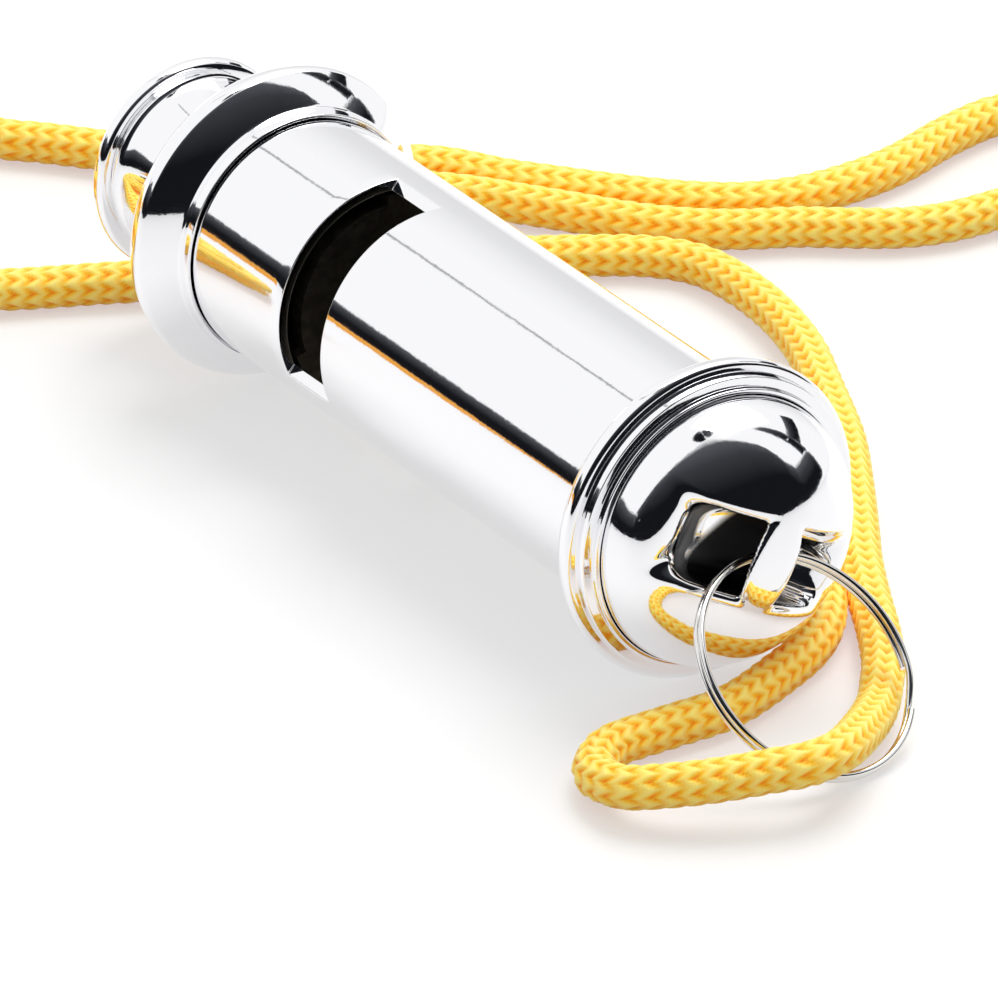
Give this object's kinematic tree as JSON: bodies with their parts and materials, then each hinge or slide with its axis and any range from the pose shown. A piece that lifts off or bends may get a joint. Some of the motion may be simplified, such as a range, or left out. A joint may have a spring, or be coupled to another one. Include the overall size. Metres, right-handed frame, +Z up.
{
  "type": "tubular whistle",
  "caption": "Chromed tubular whistle with cut windows, a domed cap with a tunnel, a swinging split ring and a looped knitted cord lanyard.",
  "frame": {"origin": "on the table under the middle of the whistle with its split ring", "axes": "+X along the barrel from the mouthpiece to the domed cap, +Z up from the table"},
  "size_m": [0.1415, 0.1215, 0.0232],
  "materials": {
    "chromed_brass": "polished chrome plate",
    "bare_brass": "plain, dull",
    "spring_steel": "bright plated wire",
    "yellow_cord": "tightly knitted",
    "black_strap": "woven"
  },
  "bodies": {
    "whistle": {"barrel_tube": "chromed_brass", "collar_ring": "chromed_brass", "mouthpiece": "chromed_brass", "divider_plate": "bare_brass", "windway_block_left": "bare_brass", "windway_block_right": "bare_brass", "chamber_stop_left": "bare_brass", "chamber_stop_right": "bare_brass", "cap_flange_ring": "chromed_brass", "cap_dome": "chromed_brass", "cord_ring_loop": "yellow_cord", "cord_back": "yellow_cord", "cord_side": "yellow_cord", "cord_coil": "yellow_cord", "cord_crimp": "chromed_brass", "coil_tie": "black_strap"},
    "ring": {"split_ring": "spring_steel"}
  },
  "joints": [
    {"name": "ring_swing", "type": "hinge", "parent": "whistle", "child": "ring", "pos_m": [0.02996, -0.00005, 0.01152], "axis": [0.0717, -0.9863, 0.1488], "range_deg": [0, 70], "deforming": ["cord_ring_loop"]}
  ]
}
